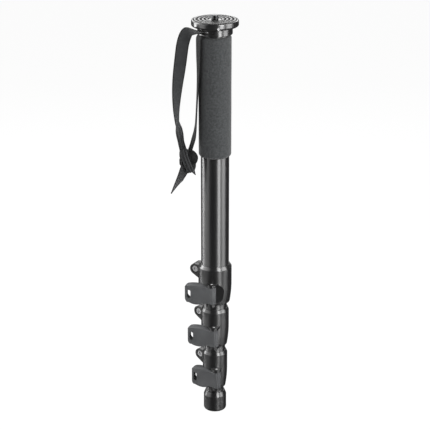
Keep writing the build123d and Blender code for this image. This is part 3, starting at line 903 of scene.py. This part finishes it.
@dataclass
class WristStrap:
    """The wrist strap: two strands from the bar in the head collar, the knot and its two tails.

    Each fold across the knot is a name, a shift in mm from the folds' line and a turn in degrees.
    """

    material: Material
    # A darker copy of the webbing: painted shade for the strap's parts that lie in shadow
    shaded_webbing: Material
    width: float = 15 * MM
    front: Band = field(default_factory=lambda: Band(
        "strap_front_strand",
        route=[
            (-10.5, -10.5, 504.05),
            (-15.3, -15.3, 504.05),
            (-20.4, -19.0, 504.5),
            (-26.2, -22.5, 505.9),
            (-31.2, -25.2, 506.3),
            (-34.2, -26.4, 503.1),
            (-36.4, -26.6, 497.5),
            (-38.2, -26.4, 490.3),
            (-39.4, -26.0, 481.8),
            (-40.8, -25.4, 470.3),
            (-42.6, -24.6, 456.8),
            (-44.4, -23.6, 442.3),
            (-45.6, -22.4, 427.3),
            (-46.2, -21.0, 412.3),
            (-45.8, -19.4, 397.8),
            (-44.7, -18.0, 388.3),
            (-42.9, -17.2, 380.3),
            (-41.6, -16.4, 372.8),
            (-40.2, -15.2, 363.3),
            (-37.6, -14.0, 354.3),
        ],
        turns=[-45, -45, -42, -36, -26, -14, -6, 0, 4, 8, 17, 30, 43, 56, 68, 76, 58, 50, 52, 40],
        dips=[0, 0, 14, 24, 22, 12, 4, 0, 0, 0, 0, 0, 0, 0, 0, 0, 0, 0, 0, 0],
        gather_start=0.8,
        gather_end=0.97,
        gathered_share=0.6,
        fold_depth=1.4 * MM,
    ))
    rear: Band = field(default_factory=lambda: Band(
        "strap_rear_strand",
        route=[
            (-16.845, -7.15, 499.6),
            (-16.845, -7.15, 497.6),
            (-18.5, -7.8, 495.9),
            (-19.6, -8.3, 493.5),
            (-19.7, -8.6, 487.7),
            (-19.8, -8.8, 474.3),
            (-19.9, -8.6, 459.3),
            (-20.3, -8.0, 443.3),
            (-21.0, -7.4, 427.3),
            (-21.9, -7.0, 411.3),
            (-22.6, -7.0, 396.3),
            (-23.4, -7.4, 383.3),
            (-25.2, -8.4, 372.3),
            (-28.2, -10.2, 363.3),
            (-31.0, -12.0, 354.8),
        ],
        turns=[-67, -67, -67, -67, -68, -70, -75, -80, -83, -85, -85, -84, -78, -68, -60],
        dips=[0] * 15,
        crown=0.0,
        gather_start=0.86,
        gather_end=1.0,
        gathered_share=0.6,
        fold_depth=0.8 * MM,
    ))
    long_tail: Band = field(default_factory=lambda: Band(
        "strap_long_tail_end",
        route=[
            (-33.8, -15.6, 341.3),
            (-36.5, -16.4, 333.8),
            (-40.0, -17.0, 326.3),
            (-43.6, -17.4, 318.8),
            (-46.6, -17.4, 311.3),
            (-49.4, -17.2, 302.8),
        ],
        turns=[30, 32, 36, 40, 44, 48],
        dips=[-10, -16, -22, -24, -22, -20],
        cut_length=17 * MM,
    ))
    short_tail: Band = field(default_factory=lambda: Band(
        "strap_short_tail_end",
        route=[(-29.4, -15.4, 338.3), (-28.2, -16.4, 331.3), (-27.2, -17.2, 324.8)],
        turns=[225, 222, 220],
        dips=[0, 0, 0],
        width=9 * MM,
        cut_length=9 * MM,
    ))
    lobes: tuple[Lobe, ...] = (
        Lobe(
            "knot_wrap",
            centre=(-33.2, -14.0, 345.3),
            direction=(-0.46, 0.05, 0.89),
            length=33.0,
            radius=8.4,
            folds=5,
            fold_depth=0.9 * MM,
            phase=0.4,
        ),
        Lobe(
            "knot_right_bight",
            centre=(-29.0, -14.4, 347.5),
            direction=(-0.3, 0.1, 1.0),
            length=19.5,
            radius=8.4,
            folds=4,
            fold_depth=0.6 * MM,
            twist=0.2,
            fullness=0.5,
        ),
        Lobe(
            "knot_left_bight",
            centre=(-37.6, -14.6, 342.9),
            direction=(0.12, 0.0, 1.0),
            length=15.0,
            radius=6.2,
            folds=4,
            fold_depth=0.6 * MM,
            twist=0.3,
            fullness=0.5,
        ),
    )
    folds: tuple[tuple[str, Point, float], ...] = (
        ("knot_fold_left", (-2.5, 1.0, -0.8), -30),
        ("knot_fold_middle", (0, 0, 0), 0),
        ("knot_fold_right", (2.5, 0.7, 0.8), 28),
    )
    fold_line: tuple[Point, ...] = (
        (-38.9, -16.2, 358.8),
        (-38.0, -19.8, 354.3),
        (-36.0, -22.0, 347.8),
        (-33.5, -22.2, 341.3),
        (-31.2, -21.0, 335.3),
        (-29.8, -18.0, 330.3),
    )
    fold_width: float = 3.8 * MM
    fold_crown: float = -1.1 * MM

    def lay_folds(self) -> list[Piece]:
        """Lay the folded tape side by side across the front of the knot.

        Returns:
            The folds, from left to right.
        """
        pieces = []
        for name, shift, turn in self.folds:
            route = [tuple(a + b for a, b in zip(point, shift)) for point in self.fold_line]
            count = len(route)
            fold = Band(name, route, [turn] * count, [0] * count, self.fold_width, crown=self.fold_crown)
            pieces.append(self.dress(fold.build(fold.line())))
        return pieces

    def build(self) -> None:
        # The right bight is dressed in the darker webbing, as painted shade
        knot = [self.dress(lobe.build(), "right" in lobe.name) for lobe in self.lobes]
        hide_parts("strap_knot")
        knot += self.lay_folds()
        tails = []
        for tail, node in ((self.long_tail, "strap_long_tail"), (self.short_tail, "strap_short_tail")):
            piece = self.dress(tail.build(tail.line()))
            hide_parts(node)
            tails.append(piece)
        strands = ((self.front, "strap_front", [*knot, *tails]), (self.rear, "strap_rear", []))
        for strand, node, others in strands:
            line = strand.line()
            # The rear strand is dressed in the darker webbing, as painted shade
            piece = self.dress(strand.build(line), strand is self.rear)
            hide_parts(node)

    def dress(self, piece: Piece, shaded_webbing: bool = False) -> Piece:
        """Give a piece its webbing and set it on the upper section.

        Args:
            piece: The piece.
            shaded_webbing: Whether it takes the darker copy of the webbing, painted shade for a part that
                lies in shadow.

        Returns:
            The same piece.
        """
        piece.data.materials.append(self.shaded_webbing if shaded_webbing else self.material)
        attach(piece, Body.UPPER.value)
        log.info("%s", piece.name)
        return piece


@dataclass
class GripSleeve:
    """The foam sleeve on the upper tube, with rolled ends and a hand-softened surface."""

    material: Material
    bore: float = 17.55 * MM
    end_round: float = 3.2 * MM
    end_steps: int = 8
    softness: float = 0.12 * MM
    waves: tuple[Span, ...] = ((5, 40), (3, -90))
    spokes: int = 160
    rows: int = 90

    def profile(self, outer: float, bottom: float, top: float) -> list[Span]:
        """The sleeve's section, from its lower end up the outside and back down the bore.

        Args:
            outer: The outer radius.
            bottom: The height of the lower end.
            top: The height of the upper end.

        Returns:
            A radius and a height for each point.
        """
        rolled = self.end_round
        turns = [math.pi / 2 * step / self.end_steps for step in range(self.end_steps + 1)]
        run = top - bottom - 2 * rolled
        return [
            *((outer - rolled * (1 - math.sin(a)), bottom + rolled * (1 - math.cos(a))) for a in turns),
            *((outer, bottom + rolled + run * step / self.rows) for step in range(1, self.rows)),
            *((outer - rolled * (1 - math.cos(a)), top - rolled * (1 - math.sin(a))) for a in turns),
            (self.bore, top),
            (self.bore, bottom),
        ]

    def softened(self, radius: float, angle: float, height: float) -> float:
        """Let the outer skin in a little, in slow waves that turn and climb; the bore stays round.

        Args:
            radius: The section's radius.
            angle: The angle about the axis.
            height: The height over the floor.

        Returns:
            The softened radius.
        """
        if radius <= self.bore:
            return radius
        wave = math.prod(math.sin(turns * angle + climb * height) for turns, climb in self.waves)
        return radius - self.softness * (1 + wave) / 2

    def build(self) -> Piece:
        """Build the sleeve in the place of its CAD solid.

        Returns:
            The sleeve.
        """
        low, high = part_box("grip_foam")
        profile = self.profile((high.x - low.x) / 2, low.z, high.z)
        verts = []
        for radius, height in profile:
            for spoke in range(self.spokes):
                angle = 2 * math.pi * spoke / self.spokes
                out = self.softened(radius, angle, height)
                verts.append(Vector((out * math.cos(angle), out * math.sin(angle), height)))
        faces = []
        for row in range(len(profile)):
            after = (row + 1) % len(profile)
            for spoke in range(self.spokes):
                beside = (spoke + 1) % self.spokes
                corners = ((row, spoke), (row, beside), (after, beside), (after, spoke))
                faces.append([level * self.spokes + spot for level, spot in corners])
        sleeve = mesh_object("grip_sleeve", verts, faces)
        face_outwards(sleeve)
        sleeve.data.materials.append(self.material)
        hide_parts("grip_foam")
        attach(sleeve, Body.UPPER.value)
        log.info("%s", sleeve.name)
        return sleeve


@dataclass
class CameraStud:
    """The threaded stud at the middle of the top plate."""

    material: Material
    crest: float = 4.7625 * MM
    shank: float = 4.0 * MM
    pitch: float = 1.5875 * MM
    chamfer: float = 0.8 * MM
    flat: float = 0.12
    around: int = 64
    rows_per_pitch: int = 12

    def build(self) -> Piece:
        """Grow the thread by its rule: the radius follows height less turn, with chamfered ends.

        It runs over the plate's top, and the shank goes on below it. The flat at each crest and root is a
        share of the flank.

        Returns:
            The stud.
        """
        low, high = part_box("camera_stud")
        plate_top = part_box("top_plate")[1].z
        height = high.z - low.z
        rows = int(height / self.pitch * self.rows_per_pitch)
        tree = GeometryTree("stud_thread")
        crest = tree.size("Crest radius", self.crest)
        shank = tree.size("Shank radius", self.shank)
        pitch = tree.size("Pitch", self.pitch)
        chamfer = tree.size("End chamfer", self.chamfer)
        tall = tree.size("Height", height)
        sunk = tree.size("Shank height", plate_top - low.z)
        base = tree.size("Base height", low.z)
        columns = tree.size("Points around", self.around + 1, whole=True)
        lines = tree.size("Points along", rows + 1, whole=True)
        spread = {"Size X": 1.0, "Size Y": 1.0, "Vertices X": columns, "Vertices Y": lines}
        grid = tree.node("GeometryNodeMeshGrid", spread)
        spot = tree.node("ShaderNodeSeparateXYZ", {0: tree.node("GeometryNodeInputPosition").outputs[0]})
        turn = tree.math("ADD", spot.outputs["X"], 0.5)
        climb = tree.math("MULTIPLY", tree.math("ADD", spot.outputs["Y"], 0.5), tall)
        angle = tree.math("MULTIPLY", turn, 2 * math.pi)
        phase = tree.math("FRACT", tree.math("SUBTRACT", tree.math("DIVIDE", climb, pitch), turn))
        flank = tree.math("ABSOLUTE", tree.math("SUBTRACT", tree.math("MULTIPLY", phase, 2.0), 1.0))
        rise = {0: flank, 1: self.flat, 2: 1 - self.flat, 3: 0.0, 4: 1.0}
        ridge = tree.node("ShaderNodeMapRange", rise).outputs[0]
        threaded = tree.math("ADD", shank, tree.math("MULTIPLY", ridge, tree.math("SUBTRACT", crest, shank)))
        for end in (tree.math("SUBTRACT", climb, sunk), tree.math("SUBTRACT", tall, climb)):
            least = tree.math("ADD", tree.math("SUBTRACT", crest, chamfer), end)
            threaded = tree.math("MINIMUM", threaded, least)
        threaded = tree.math("MAXIMUM", threaded, shank)
        place = tree.node("ShaderNodeCombineXYZ", {
            0: tree.math("MULTIPLY", threaded, tree.math("COSINE", angle)),
            1: tree.math("MULTIPLY", threaded, tree.math("SINE", angle)),
            2: tree.math("ADD", climb, base),
        })
        moved = {"Geometry": grid.outputs["Mesh"], "Position": place.outputs[0]}
        shaped = tree.node("GeometryNodeSetPosition", moved)
        welded = tree.node("GeometryNodeMergeByDistance", {"Geometry": shaped.outputs[0], "Distance": WELD})
        stud = tree.make("stud_thread", welded.outputs[0], self.material)
        self.close_ends(stud)
        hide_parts("camera_stud")
        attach(stud, Body.UPPER.value)
        log.info("%s", stud.name)
        return stud

    def close_ends(self, stud: Piece) -> None:
        """Cap both ends of the thread and shade its flanks.

        Args:
            stud: The stud, whose mesh is changed.
        """
        work = bmesh.new()
        work.from_mesh(stud.data)
        bmesh.ops.holes_fill(work, edges=[e for e in work.edges if e.is_boundary], sides=0)
        bmesh.ops.recalc_face_normals(work, faces=work.faces)
        for face in work.faces:
            face.smooth = len(face.verts) == 4
        work.to_mesh(stud.data)
        work.free()


@dataclass
class LeverBeads:
    """The upright beads on a lever's hub, where the blade meets it."""

    material: Material
    hub: float = 5.2 * MM
    cam: float = 0.35 * MM
    bead: float = 0.32 * MM
    count: int = 3
    spacing: float = 27.0
    first_turn: float = 24.0
    end_gap: float = 2.7 * MM
    sides: int = 14

    def build(self, number: int, pin: Vector, pin_angle: float, blade_angle: float) -> Piece:
        """Set beads round the hub on the side away from the tube.

        Args:
            number: The lock's number, from the top.
            pin: The pivot pin's place at half the lever's height.
            pin_angle: The pin's angle about the tube, in degrees.
            blade_angle: How far the blade is turned back from -X, in degrees.

        Returns:
            The beads as one piece.
        """
        low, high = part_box(f"lock_{number}_lever")
        out = math.radians(pin_angle)
        centre = pin - Vector((math.cos(out), math.sin(out), 0)) * self.cam
        tall = high.z - low.z - 2 * self.end_gap
        first = -90 - blade_angle + self.first_turn
        tree = GeometryTree(f"hub_beads_{number}")
        count = tree.size("Beads", self.count, whole=True)
        spacing = tree.size("Spacing in degrees", self.spacing)
        start = tree.size("First bead's angle", first)
        hub = tree.size("Hub radius", self.hub)
        bead = tree.size("Bead radius", self.bead)
        height = tree.size("Bead height", tall)
        middle = [tree.size(f"Centre {key}", value) for key, value in zip("XYZ", centre)]
        line = tree.node("GeometryNodeMeshLine", {"Count": count})
        bead_number = tree.node("GeometryNodeInputIndex").outputs[0]
        turn = tree.math("ADD", start, tree.math("MULTIPLY", bead_number, spacing))
        angle = tree.math("RADIANS", turn)
        place = tree.node("ShaderNodeCombineXYZ", {
            0: tree.math("ADD", middle[0], tree.math("MULTIPLY", hub, tree.math("COSINE", angle))),
            1: tree.math("ADD", middle[1], tree.math("MULTIPLY", hub, tree.math("SINE", angle))),
            2: middle[2],
        })
        moved = {"Geometry": line.outputs["Mesh"], "Position": place.outputs[0]}
        spots = tree.node("GeometryNodeSetPosition", moved)
        sizes = {"Vertices": self.sides, "Side Segments": 1, "Radius": bead, "Depth": height}
        rod = tree.node("GeometryNodeMeshCylinder", sizes)
        stood = {"Points": spots.outputs[0], "Instance": rod.outputs["Mesh"]}
        beads = tree.node("GeometryNodeInstanceOnPoints", stood)
        piece = tree.make(f"lever_{number}_hub_beads", beads.outputs[0], self.material)
        for polygon in piece.data.polygons:
            polygon.use_smooth = len(polygon.vertices) == 4
        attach(piece, f"lever_{number}")
        log.info("%s", piece.name)
        return piece


@dataclass
class CadFinishes:
    """The finishes of the CAD nodes that stay as they are."""

    tube: Material
    casting: Material
    lever: Material
    gloss: Material
    plated: Material
    dark_plastic: Material
    pale_plastic: Material
    pad: Material
    foot: Material

    def choices(self) -> list[tuple[Callable[[str], bool], Material]]:
        """Which finish each node has.

        Returns:
            Tests of a node's name, in order, each with the finish that it gives.
        """
        return [
            (lambda n: n.startswith("tube_"), self.tube),
            (lambda n: n.startswith("lock_") and n.endswith("_collar"), self.casting),
            (lambda n: n.endswith("_lever"), self.lever),
            (lambda n: n in ("top_plate", "head_collar"), self.gloss),
            (lambda n: n.endswith(("_pin", "_screw", "_nut")), self.plated),
            (lambda n: n in ("plate_set_screws", "strap_bar"), self.plated),
            (lambda n: n.startswith("glide_bushing") or n.endswith("_liner"), self.pale_plastic),
            (lambda n: n == "top_pad", self.pad),
            (lambda n: n == "foot_rubber", self.foot),
            (lambda n: True, self.dark_plastic),
        ]

    def dress(self) -> None:
        """Put a finish on each CAD node."""
        choices = self.choices()
        for name, node in frame["nodes"].items():
            material = next(finish for test, finish in choices if test(name))
            node.data.materials.clear()
            node.data.materials.append(material)
            log.info("%s: %s", name, material.name)


# Studio


@dataclass(frozen=True)
class Softbox:
    """A rectangular lamp that stands round the object and faces it."""

    name: str
    azimuth: float
    distance: float
    height: float
    width: float
    tall: float
    power: float
    aim: float = 0.27

    def build(self) -> None:
        """Set up the lamp; azimuth 0 is in front of the object and 90 on its right."""
        data = bpy.data.lights.new(self.name, "AREA")
        data.shape = "RECTANGLE"
        data.size, data.size_y = self.width, self.tall
        data.energy = self.power
        lamp = bpy.data.objects.new(self.name, data)
        turn = math.radians(self.azimuth)
        lamp.location = (self.distance * math.sin(turn), -self.distance * math.cos(turn), self.height)
        aim = Vector((0, 0, self.aim)) - lamp.location
        lamp.rotation_euler = aim.to_track_quat("-Z", "Y").to_euler()
        bpy.context.scene.collection.objects.link(lamp)


@dataclass
class Studio:
    """The white floor, the softboxes, the world and the camera."""

    floor: Material
    lamps: tuple[Softbox, ...] = (
        Softbox("right_strip", azimuth=33, distance=1.1, height=0.7, width=0.4, tall=1.4, power=12),
        Softbox("right_fill", azimuth=72, distance=1.2, height=0.7, width=0.75, tall=1.4, power=12),
        Softbox("left_strip", azimuth=-108, distance=1.1, height=0.7, width=0.42, tall=1.4, power=12),
        Softbox("left_fill", azimuth=-70, distance=1.2, height=0.7, width=1.05, tall=1.4, power=5.2),
        Softbox("back_panel", azimuth=180, distance=1.2, height=1.0, width=1.6, tall=0.5, power=7, aim=0.5),
    )
    floor_half: float = 12.0
    floor_gap: float = 0.2 * MM
    camera_back: float = 1.690
    camera_height: float = 0.88966
    camera_pitch: float = 20.2038
    lens: float = 121.12
    sensor: float = 36.0
    clip: Span = (0.05, 50)
    world_strength: float = 0.15
    world_in_reflections: float = 0.06

    def build(self) -> None:
        """Set up the whole studio."""
        self.lay_floor()
        for lamp in self.lamps:
            lamp.build()
        self.light_world()
        self.place_camera()
        bpy.context.scene.view_settings.view_transform = "Standard"

    def lay_floor(self) -> None:
        """Lay the floor just under the foot, where it stays as the sections slide out."""
        sides = ((-1, -1), (1, -1), (1, 1), (-1, 1))
        corners = [Vector((x * self.floor_half, y * self.floor_half, -self.floor_gap)) for x, y in sides]
        floor = mesh_object("studio_floor", corners, [[0, 1, 2, 3]])
        floor.data.materials.append(self.floor)
        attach(floor, Body.FOURTH.value)

    def light_world(self) -> None:
        """Light a world that is white to the eye, and dim in reflections and as a lamp."""
        world = bpy.data.worlds.new("studio_air")
        world.use_nodes = True
        tree = world.node_tree
        shade = tree.nodes["Background"]
        shade.inputs["Color"].default_value = (1, 1, 1, 1)
        path = tree.nodes.new("ShaderNodeLightPath")
        seen = tree.nodes.new("ShaderNodeMath")
        seen.operation = "MAXIMUM"
        tree.links.new(path.outputs["Is Camera Ray"], seen.inputs[0])
        tree.links.new(path.outputs["Is Transmission Ray"], seen.inputs[1])
        dim = tree.nodes.new("ShaderNodeMapRange")
        dim.inputs["To Min"].default_value = self.world_strength
        dim.inputs["To Max"].default_value = self.world_in_reflections
        tree.links.new(path.outputs["Is Glossy Ray"], dim.inputs["Value"])
        strength = tree.nodes.new("ShaderNodeMapRange")
        strength.inputs["To Max"].default_value = 1.0
        tree.links.new(dim.outputs["Result"], strength.inputs["To Min"])
        tree.links.new(seen.outputs[0], strength.inputs["Value"])
        tree.links.new(strength.outputs["Result"], shade.inputs["Strength"])
        bpy.context.scene.world = world

    def place_camera(self) -> None:
        """Stand the camera where the photograph was taken from."""
        data = bpy.data.cameras.new("camera")
        data.lens, data.sensor_width = self.lens, self.sensor
        data.clip_start, data.clip_end = self.clip
        camera = bpy.data.objects.new("camera", data)
        camera.location = (0, -self.camera_back, self.camera_height)
        camera.rotation_euler = Euler((math.radians(90 - self.camera_pitch), 0, 0))
        bpy.context.scene.collection.objects.link(camera)
        bpy.context.scene.camera = camera


def cad_finishes(lever: Material) -> CadFinishes:
    """The finishes of the CAD nodes.

    Args:
        lever: The levers' finish, which their beads share.

    Returns:
        The finishes.
    """
    casting = SatinCoat("lock_casting_coat", (0.005, 0.005, 0.0055), roughness=0.36, index=2.3, drawn=0.85)
    gloss = SatinCoat(
        "head_gloss_black",
        (0.005, 0.005, 0.0055),
        roughness=0.3,
        grain=600,
        grain_depth=0.02 * MM,
        coat=0.3,
        index=2.2,
        drawn=0.6,
    )
    return CadFinishes(
        tube=DrawnTube().material(),
        casting=casting.material(),
        lever=lever,
        gloss=gloss.material(),
        plated=Steel("plated_fixings", (0.8, 0.8, 0.81), roughness=0.34, metal=0.5).material(),
        dark_plastic=SatinCoat("moulded_black", (0.02, 0.02, 0.021), roughness=0.5).material(),
        pale_plastic=SatinCoat("acetal", (0.6, 0.6, 0.58), roughness=0.4).material(),
        pad=RidgedRubber().material(),
        foot=FootRubber().material(),
    )


def main() -> None:
    """Build the studio and dress the monopod, sub-assembly by sub-assembly."""
    logging.basicConfig(level=logging.INFO, format="%(name)s: %(message)s")
    Studio(Backdrop().material()).build()
    lever = SatinCoat(
        "lever_nylon", (0.076, 0.078, 0.081), roughness=0.45, grain=1300, grain_depth=0.06 * MM
    ).material()
    cad_finishes(lever).dress()
    # A darker copy of the webbing: painted shade for the rear strand and the knot's right bight
    shaded_webbing = Webbing("nylon_webbing_shaded", (0.0025, 0.0025, 0.003), (0.02, 0.02, 0.021), sheen=0.08)
    WristStrap(Webbing().material(), shaded_webbing.material()).build()
    GripSleeve(SleeveFoam().material()).build()
    CameraStud(Steel("blackened_stud", (0.12, 0.12, 0.125), roughness=0.28).material()).build()
    joints = {joint["name"]: joint for joint in frame["joints"]}
    for number, (pin_angle, blade_angle) in enumerate(LEVER_TURNS, 1):
        pin = Vector(joints[f"open_lever_{number}"]["pos_m"])
        LeverBeads(lever).build(number, pin, pin_angle, blade_angle)


if __name__ == "__main__":
    main()
